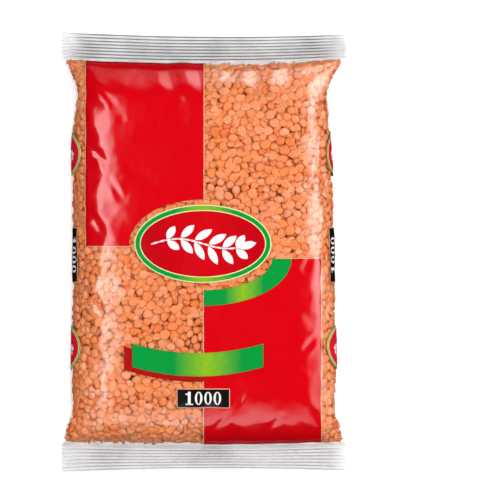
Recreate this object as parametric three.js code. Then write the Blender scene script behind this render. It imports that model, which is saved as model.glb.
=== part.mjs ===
// A sealed one-kilogram bag of split red lentils, a side-gusseted pillow pack that lies on its back.
// Millimetres. +X runs across the shown face, +Y towards the top seal, +Z up out of the shown face.
// The origin is on the surface it lies on, under the middle of the pack.
import * as THREE from 'three';

// Driving sizes of the pack
const sealWidth = 145; // the flat film across a seal
const bodyLength = 197; // from one seal line to the other, along the middle
const sealHeight = 12.5; // each crimped seal
const waistWidth = 134.6; // the filled body at mid length
const waistTaper = 0.02; // the body gets this much wider per millimetre towards its bottom
const lean = { size: -1.3, at: 62, reach: 38 }; // the upper body sits a little to the left
const frontRise = 28.5; // from the plane of the seals up to the shown face
const backDrop = 23.5; // from the plane of the seals down to the surface it lies on
const backBulge = 1.4; // how far the back would hang below that surface, which flattens it
const filmThickness = 0.9; // both walls of a seal together, made stout enough to be a solid

// How the cross-section turns from a face into a side
const faceFlatness = 5.5; // exponents of a superellipse
const sideRoundness = 2.1;
const backFlatness = 7;
const cornerShare = 0.88; // the part of the half width that is face, and not side
const earShare = 0.985; // the same at a seal, where the sides are folded in
const earLength = 23;

// How the body closes towards a seal
const frontRun = 33;
const backRun = 27;
const closingExponent = 2.2;
const flareLength = { top: 9, bottom: 24 };
const flareExponent = 1.3;
const gussetTuck = 14; // how deep the side folds in between the ears
const gussetReach = 6.5; // the distance from a seal at which it is deepest
const gussetHollow = 1.7; // above 1, the fold is sharper than a plain V

// Soft forms in the film
const puckerHeight = 0.9;
const puckerReach = 9;
const puckerWaves = [
  { length: 17.5, phase: 0.6, share: 0.6 },
  { length: 27, phase: 2.1, share: 0.4 },
];
const faceFormEdge = 1.5; // above 1, puckers and folds keep their full depth further out on the face
const faceFolds = [
  { from: [-60, 74], to: [-34, 44], depth: 0.9, width: 4.5 },
  { from: [-61, 40], to: [-22, 14], depth: 0.7, width: 4.5 },
  { from: [61, 12], to: [40, -16], depth: 0.7, width: 4.5 },
  { from: [60, -58], to: [24, -80], depth: 0.8, width: 4.5 },
];

// The seals: ribs across the film, a curve in each seal line and a slow wave along it
const ribCount = 7;
const ribHeight = 0.42;
const sealMargin = 0.5;
const sealDroop = 1.2;
const sealWaves = [
  { length: 61, phase: 0.9, height: 0.7 },
  { length: 37, phase: 2.4, height: 0.4 },
];
const sealCurve = {
  top: { innerMiddle: -1.0, innerEnds: 1.0, outerMiddle: -1.1, outerEnds: 0.6, tilt: -0.6 },
  bottom: { innerMiddle: -1.0, innerEnds: 0.8, outerMiddle: 0.6, outerEnds: -0.9, tilt: 0.3 },
};
const curveFade = 26;

// Resolution
const faceSteps = 13; // along a quarter of the section, from the middle of a face to its corner
const sideSteps = 4; // from that corner to the middle of the side
const bodySteps = 38;

const bodyHalf = bodyLength / 2;
const quarterSteps = faceSteps + sideSteps;
const ringPoints = 4 * quarterSteps;

const mix = (a, b, share) => a + (b - a) * share;

// Rises from 0 at a seal to 1 at the given reach, and dies away beyond it
const swell = (distance, reach) => (distance / reach) * Math.exp(1 - distance / reach);

function waves(list, x, size) {
  return list.reduce((sum, w) => sum + w[size] * Math.sin((2 * Math.PI * x) / w.length + w.phase), 0);
}

function halfWidth(v) {
  const inside = Math.max(0, bodyHalf - Math.abs(v));
  const waist = (waistWidth - waistTaper * v) / 2;
  const reach = v > 0 ? flareLength.top : flareLength.bottom;
  return mix(waist, sealWidth / 2, Math.exp(-((inside / reach) ** flareExponent)));
}

// Share of the full depth at a distance inside the seal line
function closing(inside, run) {
  const open = 1 - Math.min(1, inside / run);
  return (1 - open ** closingExponent) ** (1 / closingExponent);
}

// One quarter of a section, as shares of its half width and half depth
function quarterPoint(step, flatness, corner) {
  const rise = (share) => (1 - share ** flatness) ** (1 / sideRoundness);
  if (step <= faceSteps) {
    const across = (corner * step) / faceSteps;
    return { across, up: rise(across), sideShare: 0 };
  }
  const sideShare = (step - faceSteps) / sideSteps;
  const up = rise(corner) * (1 - sideShare);
  return { across: (1 - up ** sideRoundness) ** (1 / flatness), up, sideShare };
}

// How far a seal line bends along Y at a place across the pack
function seamBend(v, acrossShare) {
  const curve = v > 0 ? sealCurve.top : sealCurve.bottom;
  const past = Math.abs(v) - bodyHalf;
  const out = Math.min(1, Math.max(0, past / sealHeight));
  const middle = mix(curve.innerMiddle, curve.outerMiddle, out);
  const ends = mix(curve.innerEnds, curve.outerEnds, out);
  const bend = mix(middle, ends, acrossShare ** 2) + curve.tilt * acrossShare * out;
  return bend * Math.exp(-Math.max(0, -past) / curveFade);
}

function foldDepth(x, y) {
  let depth = 0;
  for (const fold of faceFolds) {
    const start = new THREE.Vector2(...fold.from);
    const along = new THREE.Vector2(...fold.to).sub(start);
    const offset = new THREE.Vector2(x, y).sub(start);
    const share = offset.dot(along) / along.lengthSq();
    const clamped = Math.min(1, Math.max(0, share));
    const distance = offset.distanceTo(along.clone().multiplyScalar(clamped));
    const fade = 1 - clamped ** 2;
    depth += fold.depth * fade * Math.exp(-((distance / fold.width) ** 2));
  }
  return depth;
}

function ribOffset(past) {
  const pitch = (sealHeight - 2 * sealMargin) / ribCount;
  const phase = (past - sealMargin) / pitch;
  if (phase <= 0 || phase >= ribCount) return 0;
  return ribHeight * (1 - 4 * Math.abs((phase % 1) - 0.5));
}

// The strip of a seal buckles a little, more at its free edge
function sealWaveAt(x, past) {
  return waves(sealWaves, x, 'height') * (past / sealHeight);
}

// The point on the skin at a length station v and a step round the section
function skinPoint(v, step) {
  const quarter = Math.floor(step / quarterSteps) % 4;
  const within = step % quarterSteps;
  const right = quarter === 0 || quarter === 3;
  const front = quarter < 2;
  const fromMiddle = quarter % 2 === 0 ? quarterSteps - within : within;

  const inside = Math.max(0, bodyHalf - Math.abs(v));
  const past = Math.max(0, Math.abs(v) - bodyHalf);
  const ear = Math.exp(-((inside / earLength) ** 2));
  const corner = mix(cornerShare, earShare, ear);
  const place = quarterPoint(fromMiddle, front ? faceFlatness : backFlatness, corner);

  const half = halfWidth(v);
  const tuck = gussetTuck * swell(inside, gussetReach) * place.sideShare ** gussetHollow;
  const shift = lean.size * Math.exp(-(((v - lean.at) / lean.reach) ** 2)) * closing(inside, frontRun);
  const x = shift + (right ? 1 : -1) * (place.across * half - tuck);
  const y = v + seamBend(v, x / (sealWidth / 2));

  const film = filmThickness / 2;
  let z = sealWaveAt(x, past) + ribOffset(past) - (sealDroop * past) / sealHeight;
  if (front) {
    const pucker = puckerHeight * waves(puckerWaves, x, 'share') * swell(inside, puckerReach);
    const faceShare = Math.min(1, place.up * faceFormEdge);
    z += (film + frontRise * closing(inside, frontRun)) * place.up;
    z += (pucker - foldDepth(x, y) * closing(inside, frontRun)) * faceShare;
  } else {
    z -= (film + (backDrop + backBulge) * closing(inside, backRun)) * place.up;
  }
  return new THREE.Vector3(x, y, Math.max(0, backDrop + z));
}

// Length stations from the bottom edge to the top edge, closer together near the seals
function stations() {
  const seal = [sealMargin];
  const pitch = (sealHeight - 2 * sealMargin) / ribCount;
  for (let half = 1; half <= 2 * ribCount; half++) seal.push(sealMargin + (half * pitch) / 2);
  seal.push(sealHeight);
  const body = [];
  for (let step = 0; step <= bodySteps; step++) {
    const t = (2 * step) / bodySteps - 1;
    body.push((bodyHalf * (t + Math.sin((Math.PI * t) / 2))) / 2);
  }
  const top = seal.map((past) => bodyHalf + past);
  const bottom = seal.map((past) => -bodyHalf - past).reverse();
  return [...bottom, ...body, ...top];
}

function packGeometry() {
  const positions = [];
  const faces = [];
  const rows = stations();
  for (const v of rows) {
    for (let step = 0; step < ringPoints; step++) positions.push(...skinPoint(v, step).toArray());
  }
  const at = (row, step) => row * ringPoints + (step % ringPoints);
  for (let row = 0; row + 1 < rows.length; row++) {
    for (let step = 0; step < ringPoints; step++) {
      const corners = [at(row, step), at(row, step + 1), at(row + 1, step + 1), at(row + 1, step)];
      faces.push(corners[0], corners[2], corners[1], corners[0], corners[3], corners[2]);
    }
  }
  // Each free edge is closed by a strip between the two walls of the film
  for (const [row, facesTop] of [[0, false], [rows.length - 1, true]]) {
    for (let step = 0; step < ringPoints / 2; step++) {
      const front = [at(row, step), at(row, step + 1)];
      const back = [at(row, ringPoints - step), at(row, ringPoints - step - 1)];
      const strip = [
        [front[0], front[1], back[1]],
        [front[0], back[1], back[0]],
      ];
      for (const triangle of strip) {
        if (new Set(triangle).size < 3) continue;
        faces.push(...(facesTop ? triangle.reverse() : triangle));
      }
    }
  }
  const geometry = new THREE.BufferGeometry();
  geometry.setAttribute('position', new THREE.Float32BufferAttribute(positions, 3));
  geometry.setIndex(faces);
  geometry.computeVertexNormals();
  return geometry;
}

const lentilsInFilm = new THREE.MeshStandardMaterial({ color: 0xe88c58, roughness: 0.35, metalness: 0 });

const pack = new THREE.Mesh(packGeometry(), lentilsInFilm);
pack.name = 'lentil_bag';

const model = new THREE.Group();
model.add(pack);

export default model;
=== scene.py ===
import math

import bpy
import numpy as np
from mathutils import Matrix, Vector
from mathutils.bvhtree import BVHTree
from mathutils.kdtree import KDTree


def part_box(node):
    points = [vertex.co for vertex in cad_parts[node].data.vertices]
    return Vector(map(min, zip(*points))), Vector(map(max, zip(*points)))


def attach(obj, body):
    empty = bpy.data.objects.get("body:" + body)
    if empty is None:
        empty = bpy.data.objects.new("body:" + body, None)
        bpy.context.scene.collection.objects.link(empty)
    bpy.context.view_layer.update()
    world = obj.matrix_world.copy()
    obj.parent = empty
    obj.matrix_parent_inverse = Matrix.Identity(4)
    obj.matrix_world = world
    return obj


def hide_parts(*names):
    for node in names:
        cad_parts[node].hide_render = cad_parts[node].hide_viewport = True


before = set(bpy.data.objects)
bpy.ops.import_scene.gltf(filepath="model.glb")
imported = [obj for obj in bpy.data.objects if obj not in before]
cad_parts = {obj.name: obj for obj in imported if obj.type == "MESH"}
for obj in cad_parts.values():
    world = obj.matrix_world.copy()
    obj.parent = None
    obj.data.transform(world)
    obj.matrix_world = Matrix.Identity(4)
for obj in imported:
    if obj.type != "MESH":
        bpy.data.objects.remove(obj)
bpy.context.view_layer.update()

# A clear bag of red lentils with printed fields, lying on its back, shown side up.
# Lengths are in millimetres until a mesh is made, and the meshes are in metres.
mm = 0.001
packLow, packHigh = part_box("lentil_bag")
fullTurn = 4.0  # once round the pack: 0 right side, 1 front, 2 left side, 3 back

pack = {
    "sealWidth": (packHigh.x - packLow.x) / mm,  # the flat film across a seal
    "bodyLength": 197,  # from one seal line to the other
    "sealHeight": 12.5,
    "waistWidth": 134.6,
    "waistTaper": 0.02,
    "leanSize": -1.3,
    "leanAt": 62,
    "leanReach": 38,
    "frontRise": 28.5,  # from the plane of the seals up to the shown face
    "backDrop": 23.5,
    "backBulge": 1.4,
    "bodyFilm": 0.9,  # added to the body's depth, as in the frame
    "sealFilm": 0.34,  # both walls of a seal together
    "faceFlatness": 5.5,
    "backFlatness": 7,
    "sideRoundness": 2.1,
    "cornerShare": 0.88,
    "earShare": 0.985,
    "earLength": 23,
    "frontRun": 33,
    "backRun": 27,
    "closingPower": 2.2,
    "weldLip": 0.9,  # the film lies flat this far inside a seal line before it rises
    "lipFade": 7,
    "flareTop": 9,
    "flareBottom": 24,
    "flarePower": 1.3,
    "gussetTuck": 14,
    "gussetReach": 6.5,
    "gussetHollow": 1.7,
    "sealDroop": 1.2,
    "sealWaves": [(61, 0.9, 0.7), (37, 2.4, 0.4)],  # length, phase, height
    "curveFade": 26,
    "topCurve": {"inMid": -1.0, "inEnd": 1.0, "outMid": -1.1, "outEnd": 0.6, "tilt": -0.6},
    "bottomCurve": {"inMid": -1.0, "inEnd": 0.8, "outMid": 0.6, "outEnd": -0.9, "tilt": 0.3},
    "faceEnd": 52 / 72,  # the part of a quarter turn that is face, and not side
}
half = pack["bodyLength"] / 2


def mix(a, b, share):
    return a + (b - a) * share


def bell(distance, width):
    return np.exp(-((distance / width) ** 2))


def swell(distance, reach):  # 0 at a seal, 1 at the reach, dying away beyond it
    return distance / reach * np.exp(1 - distance / reach)


def closing(inside, run):  # share of the full depth, by the distance inside a seal line
    risen = np.maximum(0, inside - pack["weldLip"] * np.exp(-inside / pack["lipFade"]))
    shut = 1 - np.minimum(1, risen / run)
    return (1 - shut ** pack["closingPower"]) ** (1 / pack["closingPower"])


def insideOf(v):  # the distance inside the nearer seal line
    return np.maximum(0, half - np.abs(v))


def halfWidth(v):
    waist = (pack["waistWidth"] - pack["waistTaper"] * v) / 2
    reach = np.where(v > 0, pack["flareTop"], pack["flareBottom"])
    return mix(waist, pack["sealWidth"] / 2, np.exp(-((insideOf(v) / reach) ** pack["flarePower"])))


def lean(v):
    size = pack["leanSize"] * bell(v - pack["leanAt"], pack["leanReach"])
    return size * closing(insideOf(v), pack["frontRun"])


def cornerAt(v):
    return mix(pack["cornerShare"], pack["earShare"], bell(insideOf(v), pack["earLength"]))


def outOf(turn):  # 0 in the middle of a face and 1 in the middle of a side, and which quarter turn it is
    quarter = np.floor(turn) % 4
    within = turn - np.floor(turn)
    return np.where(quarter % 2 == 0, 1 - within, within), quarter


def seamBend(v, across):
    past = np.abs(v) - half
    out = np.clip(past / pack["sealHeight"], 0, 1)
    bends = []
    for curve in (pack["topCurve"], pack["bottomCurve"]):
        middle = mix(curve["inMid"], curve["outMid"], out)
        ends = mix(curve["inEnd"], curve["outEnd"], out)
        bends.append(mix(middle, ends, across ** 2) + curve["tilt"] * across * out)
    return np.where(v > 0, bends[0], bends[1]) * np.exp(-np.maximum(0, -past) / pack["curveFade"])


ribs = {
    "count": 7,
    "height": 0.30,
    "margin": 0.5,
    "groove": 0.18,
    "rise": (0.6, 1.6),  # shares of the height that the ribs stand, and that the grooves go down from there
    "fading": (0.75, 0.25, 9, 1.3),  # along the seal the height changes: middle, swing, length and phase
}


def grooveAt(past):  # 1 in the middle of each pressed groove of a seal, 0 on the ribs between
    pitch = (pack["sealHeight"] - 2 * ribs["margin"]) / ribs["count"]
    phase = (past - ribs["margin"]) / pitch
    inRibs = (phase > -0.5) & (phase < ribs["count"] + 0.5)
    return np.where(inRibs, bell(phase - np.round(phase), ribs["groove"]), 0)


def ribOffset(x, past):
    middle, swing, length, phase = ribs["fading"]
    rise, fall = ribs["rise"]
    height = ribs["height"] * (middle + swing * np.sin(x / length + phase))
    return height * (rise - fall * grooveAt(past)) * np.clip(past / ribs["margin"], 0, 1)


def bareSkin(v, turn):  # points on the filled pack, without the film's fine wrinkles
    out, quarter = outOf(turn)
    right = np.where((quarter == 0) | (quarter == 3), 1.0, -1.0)
    front = quarter < 2
    inside = insideOf(v)
    past = np.maximum(0, np.abs(v) - half)
    corner = cornerAt(v)
    flat = np.where(front, pack["faceFlatness"], pack["backFlatness"])
    roundness = pack["sideRoundness"]
    onFace = out <= pack["faceEnd"]
    faceAcross = corner * np.minimum(1, out / pack["faceEnd"])
    sideShare = np.clip((out - pack["faceEnd"]) / (1 - pack["faceEnd"]), 0, 1)
    sideUp = (1 - corner ** flat) ** (1 / roundness) * (1 - sideShare)
    across = np.where(onFace, faceAcross, (1 - sideUp ** roundness) ** (1 / flat))
    up = np.where(onFace, (1 - faceAcross ** flat) ** (1 / roundness), sideUp)
    tuck = pack["gussetTuck"] * swell(inside, pack["gussetReach"]) * sideShare ** pack["gussetHollow"]
    x = lean(v) + right * (across * halfWidth(v) - tuck)
    y = v + seamBend(v, x / (pack["sealWidth"] / 2))
    wave = sum(size * np.sin(2 * math.pi * x / length + phase) for length, phase, size in pack["sealWaves"])
    z = wave * past / pack["sealHeight"] + ribOffset(x, past) - pack["sealDroop"] * past / pack["sealHeight"]
    frontShare = closing(inside, pack["frontRun"])
    film = mix(pack["sealFilm"], pack["bodyFilm"], frontShare) / 2
    frontZ = (film + pack["frontRise"] * frontShare) * up
    backZ = -(film + (pack["backDrop"] + pack["backBulge"]) * closing(inside, pack["backRun"])) * up
    z = z + np.where(front, frontZ, backZ)
    return np.stack([x, y, np.maximum(0, pack["backDrop"] + z)], axis=-1)


girthTurns = np.linspace(0, fullTurn, 1601)  # fine steps once round the pack at mid length
girthRing = bareSkin(np.zeros_like(girthTurns), girthTurns)
girthLengths = np.concatenate([[0], np.cumsum(np.linalg.norm(np.diff(girthRing, axis=0), axis=1))])
girth = girthLengths[-1]


def around(turn):
    return np.interp(turn % fullTurn, girthTurns, girthLengths)


def tangents(v, turn):
    alongStep, turnStep = 0.25, 0.004
    along = (bareSkin(v + alongStep, turn) - bareSkin(v - alongStep, turn)) / (2 * alongStep)
    across = (bareSkin(v, turn + turnStep) - bareSkin(v, turn - turnStep)) / (2 * turnStep)
    return along, across


def unit(vectors):
    return vectors / np.maximum(np.linalg.norm(vectors, axis=-1, keepdims=True), 1e-9)


def outward(v, turn):
    along, across = tangents(v, turn)
    return unit(np.cross(along, across))


def ripple(v, turn, length, seed, count=14):  # soft uneven waves of about one length, closed round the pack
    rng = np.random.default_rng(seed)
    place = around(turn)
    total = np.zeros_like(place)
    for _ in range(count):
        angle = rng.uniform(0, math.pi)
        size = length * rng.uniform(0.75, 1.35)
        phase = rng.uniform(0, 2 * math.pi)
        turnsRound = round(girth * math.cos(angle) / size)
        total += np.cos(2 * math.pi * (turnsRound * place / girth + v * math.sin(angle) / size) + phase)
    return total * math.sqrt(2 / count)


wrinkles = {
    "lumps": (0.030, 5.4, 11),  # the film over single lentils: height, length and seed of its waves
    "drape": (0.14, 24, 12),
    "shoulder": (0.13, 10.5, 13),  # where the face turns into the side
    "seal": (0.30, 11, 14),  # puckers beside a seal
    "shoulderAt": (0.66, 0.13),
    "onFaces": 0.12,  # the share of the shoulder's creases that runs on over the faces
    "fadeRun": 14,
    "puckerReach": 8,
    "puckerStretch": 0.35,
    "creaseBanks": [(1.9, 0.6), (-2.1, 0.3)],  # the film rises beside a crease: how far off, and how much
    "creases": [  # from, to, depth, width
        ((-59, 56), (-49, 44), 0.55, 1.5),
        ((-47, 35), (-41.5, 27), 0.4, 1.3),
        ((-55, 86), (-45, 74), 0.35, 1.6),
        ((-43, 47), (-18, 28), 0.16, 2.2),
        ((-58, 20), (-50, 8), 0.35, 1.5),
        ((-59, -22), (-50, -33), 0.35, 1.6),
        ((59, 40), (51, 29), 0.35, 1.5),
        ((58, 2), (50, -10), 0.35, 1.6),
        ((60, -40), (49, -52), 0.45, 1.6),
        ((20, -71), (17, -79), 0.3, 1.3),
        ((4, -92), (15, -80), 0.35, 1.5),
        ((30, -93), (41, -82), 0.35, 1.5),
    ],
}


def creaseDepth(x, y):
    depth = np.zeros_like(x)
    for start, end, size, width in wrinkles["creases"]:
        spanX, spanY = end[0] - start[0], end[1] - start[1]
        length = math.hypot(spanX, spanY)
        along = ((x - start[0]) * spanX + (y - start[1]) * spanY) / length ** 2
        aside = ((x - start[0]) * spanY - (y - start[1]) * spanX) / length
        inRange = np.clip(1 - (2 * np.abs(along - 0.5)) ** 3, 0, 1)
        profile = bell(aside, width)
        for shift, share in wrinkles["creaseBanks"]:
            profile = profile - share * bell(aside - shift * width, width)
        depth += size * inRange * profile
    return depth


def relief(v, turn, bare):  # the film's fine wrinkles, along its normal
    def waves(kind, along):
        height, length, seed = wrinkles[kind]
        return height * ripple(along, turn, length, seed)

    inside = insideOf(v)
    body = closing(inside, wrinkles["fadeRun"])
    out, quarter = outOf(turn)
    place, width = wrinkles["shoulderAt"]
    creasing = waves("shoulder", v) * (bell(out - place, width) + wrinkles["onFaces"])
    pucker = waves("seal", v * wrinkles["puckerStretch"]) * swell(inside, wrinkles["puckerReach"])
    height = body * (waves("lumps", v) + waves("drape", v) + creasing) + pucker
    return height - np.where(quarter < 2, body, 0) * creaseDepth(bare[..., 0], bare[..., 1])


def skin(v, turn, sink=0.0):  # points on the film, or that far under it
    v, turn = np.broadcast_arrays(np.asarray(v, float), np.asarray(turn, float))
    bare = bareSkin(v, turn)
    normal = outward(v, turn)
    points = bare + normal * relief(v, turn, bare)[..., None]
    points[..., 2] = np.maximum(points[..., 2], 0)
    return points - normal * np.asarray(sink)[..., None]


# Making meshes


def makePiece(name, points, faces, materials, faceMaterial=None, shares=None):
    mesh = bpy.data.meshes.new(name)
    faces = np.asarray(faces, np.int32)
    mesh.vertices.add(len(points))
    mesh.vertices.foreach_set("co", (np.asarray(points) * mm).astype(np.float32).ravel())
    mesh.loops.add(faces.size)
    mesh.loops.foreach_set("vertex_index", faces.ravel())
    mesh.polygons.add(len(faces))
    mesh.polygons.foreach_set("loop_start", np.arange(0, faces.size, 3, dtype=np.int32))
    mesh.polygons.foreach_set("use_smooth", np.full(len(faces), True))
    for material in materials:
        mesh.materials.append(material)
    if faceMaterial is not None:
        mesh.polygons.foreach_set("material_index", np.asarray(faceMaterial, np.int32))
    mesh.update(calc_edges=True)
    mesh.validate()
    for title, values in (shares or {}).items():  # a value for each point, which the materials read
        mesh.attributes.new(title, "FLOAT", "POINT").data.foreach_set("value", values.astype(np.float32))
    piece = bpy.data.objects.new(name, mesh)
    bpy.context.scene.collection.objects.link(piece)
    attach(piece, "root")
    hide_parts("lentil_bag")
    print(name + ":", len(faces), "triangles")


def tubeQuads(rows, count):  # the faces between rows of points, each row going once round the pack
    row, column = np.meshgrid(np.arange(rows - 1), np.arange(count), indexing="ij")
    a, b = row * count + column, row * count + (column + 1) % count
    return np.stack([a, b, b + count, a + count], axis=-1).reshape(-1, 4)[:, ::-1]


def halved(quads):
    return np.concatenate([quads[:, [0, 1, 2]], quads[:, [0, 2, 3]]])


# Node helpers


def addNode(tree, kind, spot, inputs=None, **settings):  # an input gets a value, or a link from a socket
    node = tree.nodes.new(kind)
    node.location = spot
    for name, value in settings.items():
        setattr(node, name, value)
    for name, value in (inputs or {}).items():
        if isinstance(value, bpy.types.NodeSocket):
            tree.links.new(value, node.inputs[name])
        else:
            node.inputs[name].default_value = value
    return node


def addMath(tree, operation, spot, *values, clamp=False):
    inputs = dict(enumerate(values))
    return addNode(tree, "ShaderNodeMath", spot, inputs, operation=operation, use_clamp=clamp).outputs[0]


def addMix(tree, spot, share, first, second):
    inputs = {"Factor": share, "A": first, "B": second}
    return addNode(tree, "ShaderNodeMix", spot, inputs, data_type="RGBA").outputs["Result"]


def addShare(tree, spot, title):  # what the mesh says at each point, as makePiece was told
    return addNode(tree, "ShaderNodeAttribute", spot, attribute_name=title).outputs["Fac"]


def addRamp(tree, spot, value, stops):
    ramp = addNode(tree, "ShaderNodeValToRGB", spot, {"Fac": value})
    marks = ramp.color_ramp.elements
    while len(marks) < len(stops):
        marks.new(0.5)
    for mark, (position, color) in zip(marks, stops):
        mark.position = position
        mark.color = color
    return ramp.outputs["Color"]


def fineGrainGroup():  # small uneven speckle in a colour, with a height for Bump
    group = bpy.data.node_groups.new("fineGrain", "ShaderNodeTree")
    for title, kind, value in (
        ("Color", "NodeSocketColor", (0.8, 0.8, 0.8, 1)),
        ("Dark Color", "NodeSocketColor", (0.4, 0.4, 0.4, 1)),
        ("Scale", "NodeSocketFloat", 600.0),
        ("Amount", "NodeSocketFloat", 0.3),
    ):
        group.interface.new_socket(title, in_out="INPUT", socket_type=kind).default_value = value
    for title, kind in (("Color", "NodeSocketColor"), ("Height", "NodeSocketFloat")):
        group.interface.new_socket(title, in_out="OUTPUT", socket_type=kind)
    start = addNode(group, "NodeGroupInput", (-800, 0))
    place = addNode(group, "ShaderNodeTexCoord", (-800, -200))
    noise = addNode(group, "ShaderNodeTexNoise", (-500, -100), {
        "Vector": place.outputs["Object"], "Scale": start.outputs["Scale"], "Detail": 4.0, "Roughness": 0.6})
    spread = addNode(group, "ShaderNodeMapRange", (-280, -100), {
        "Value": noise.outputs["Fac"], "From Min": 0.35, "From Max": 0.7})
    weight = addMath(group, "MULTIPLY", (-60, -100), spread.outputs["Result"], start.outputs["Amount"])
    speckled = addMix(group, (160, 60), weight, start.outputs["Color"], start.outputs["Dark Color"])
    addNode(group, "NodeGroupOutput", (600, 0), {"Color": speckled, "Height": noise.outputs["Fac"]})
    return group


fineGrain = fineGrainGroup()


def newMaterial(name):
    material = bpy.data.materials.new(name)
    material.use_nodes = True
    material.node_tree.nodes.clear()
    return material, material.node_tree


def addGrain(tree, spot, color, darkColor, scale, amount):
    return addNode(tree, "ShaderNodeGroup", spot, {
        "Color": color, "Dark Color": darkColor, "Scale": scale, "Amount": amount}, node_tree=fineGrain)


def grainedSurface(tree, grain, bump, look, color=None):  # the grain's height as a fine bump, and its colour
    strength, distance = bump
    normal = addNode(tree, "ShaderNodeBump", (350, -250), {
        "Height": grain.outputs["Height"], "Strength": strength, "Distance": distance})
    shader = addNode(tree, "ShaderNodeBsdfPrincipled", (600, 0), {
        "Base Color": color or grain.outputs["Color"], "Normal": normal.outputs["Normal"], **look})
    addNode(tree, "ShaderNodeOutputMaterial", (900, 0), {"Surface": shader.outputs[0]})


def mixedSurface(tree, share, first, second):  # the second of two shaders by that share
    blend = addNode(tree, "ShaderNodeMixShader", (600, 100), {
        0: share, 1: first.outputs[0], 2: second.outputs[0]})
    addNode(tree, "ShaderNodeOutputMaterial", (900, 0), {"Surface": blend.outputs[0]})


filmLook = {
    "mirror": 0.036,  # seen square on
    "glanceMirror": 0.05,  # added at a glance
    "slack": [  # the film is duller about these places on the shown face, or glossier: place, reach, share
        ((64, -72), (17, 40), 0.75),
        ((-34, 92), (40, 22), 0.45),
        ((24, 86), (27, 8), -1.0),
    ],
    "tint": (0.985, 0.985, 0.985, 1),
    "sealHaze": 0.50,  # share of the top seal's wall that hides what is behind it
    "bottomHaze": 0.36,
    "grooveHaze": 0.40,  # added in a groove, so that its painted shade shows
    "hemHaze": 0.34,  # and along the seal line
    "sealMetal": 0.25,
    "sealRoughness": 0.26,
    "sealTint": (0.98, 0.98, 0.98, 1),
    "sealColor": (0.95, 0.95, 0.955, 1),
    "sealPaintedReflection": (0.46, 0.47, 0.49, 1),
    "grooveShadeColor": (0.05, 0.052, 0.057, 1),
    "topGrooveShade": 0.95,  # how dark the grooves are painted, as painted shade, and the same at the bottom seal
    "bottomGrooveShade": 0.62,
    "bottomStart": 1.2,  # the bottom seal has no painted groove shade this near its seal line
    "grooveEnd": (58, 72),  # the painted groove shade grows faint towards the ends of a seal
    "hem": 0.9,  # this much of the body beside a seal is welded too
    "hemWidth": 0.8,
    "slackRise": 12,  # the slack places fade in over this height above the seals
}


def clearFilmMaterial():
    material, tree = newMaterial("clearFilm")
    place = addNode(tree, "ShaderNodeTexCoord", (-600, -200))
    smear = addNode(tree, "ShaderNodeTexNoise", (-400, -200), {
        "Vector": place.outputs["Object"], "Scale": 90.0, "Detail": 2.0})
    rough = addNode(tree, "ShaderNodeMapRange", (-150, -200), {
        "Value": smear.outputs["Fac"], "To Min": 0.12, "To Max": 0.21})
    clear = addNode(tree, "ShaderNodeBsdfTransparent", (300, 150), {"Color": filmLook["tint"]})
    gloss = addNode(tree, "ShaderNodeBsdfPrincipled", (300, 0), {
        "Base Color": (1, 1, 1, 1), "Metallic": 1.0, "Roughness": rough.outputs["Result"]})
    # The same mirror from both sides: little when seen square on, and more at a glance
    facing = addNode(tree, "ShaderNodeLayerWeight", (-300, 300), {"Blend": 0.5})
    glance = addMath(tree, "POWER", (-100, 300), facing.outputs["Facing"], 5.0)
    mirror = addMath(tree, "MULTIPLY_ADD", (100, 300), glance, filmLook["glanceMirror"], filmLook["mirror"],
                     clamp=True)
    dulled = addMath(tree, "MULTIPLY", (350, 400), mirror, addShare(tree, (100, 500), "sheen"))
    mixedSurface(tree, dulled, clear, gloss)
    return material


def sealFilmMaterial():
    material, tree = newMaterial("sealFilm")
    # painted reflection: large grey blotches over the seal
    grain = addGrain(tree, (-200, 0), filmLook["sealColor"], filmLook["sealPaintedReflection"], 46.0, 0.8)
    groove = addShare(tree, (-200, 250), "groove")
    # painted shade: the seal's colour darkens in its grooves
    shade = addMix(tree, (50, 100), groove, grain.outputs["Color"], filmLook["grooveShadeColor"])
    clear = addNode(tree, "ShaderNodeBsdfTransparent", (300, 150), {"Color": filmLook["sealTint"]})
    gloss = addNode(tree, "ShaderNodeBsdfPrincipled", (300, 0), {
        "Base Color": shade,
        "Metallic": filmLook["sealMetal"],
        "Roughness": filmLook["sealRoughness"],
    })
    mixedSurface(tree, addShare(tree, (300, 350), "haze"), clear, gloss)
    return material


filmGrid = {"faceColumns": 52, "sideColumns": 18, "bodyRows": 84, "bodyPower": 1.3, "ribRows": 9}


def filmRows():
    rows = filmGrid["bodyRows"]
    inside = half * (np.arange(rows, -1, -1) / rows) ** filmGrid["bodyPower"]
    body = np.concatenate([-half + inside[::-1], (half - inside)[1:]])
    steps = ribs["count"] * filmGrid["ribRows"]
    ribbed = np.linspace(ribs["margin"], pack["sealHeight"] - ribs["margin"], steps + 1)
    seal = np.append(ribbed, pack["sealHeight"])
    return np.concatenate([(-half - seal)[::-1], body, half + seal])


def filmColumns():
    face = np.linspace(0, pack["faceEnd"], filmGrid["faceColumns"], endpoint=False)
    side = np.linspace(pack["faceEnd"], 1, filmGrid["sideColumns"], endpoint=False)
    out = np.concatenate([face, side])
    back = np.append(out, 1)[::-1][:-1]
    return np.concatenate([1 - back, 1 + out, 3 - back, 3 + out])


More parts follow.
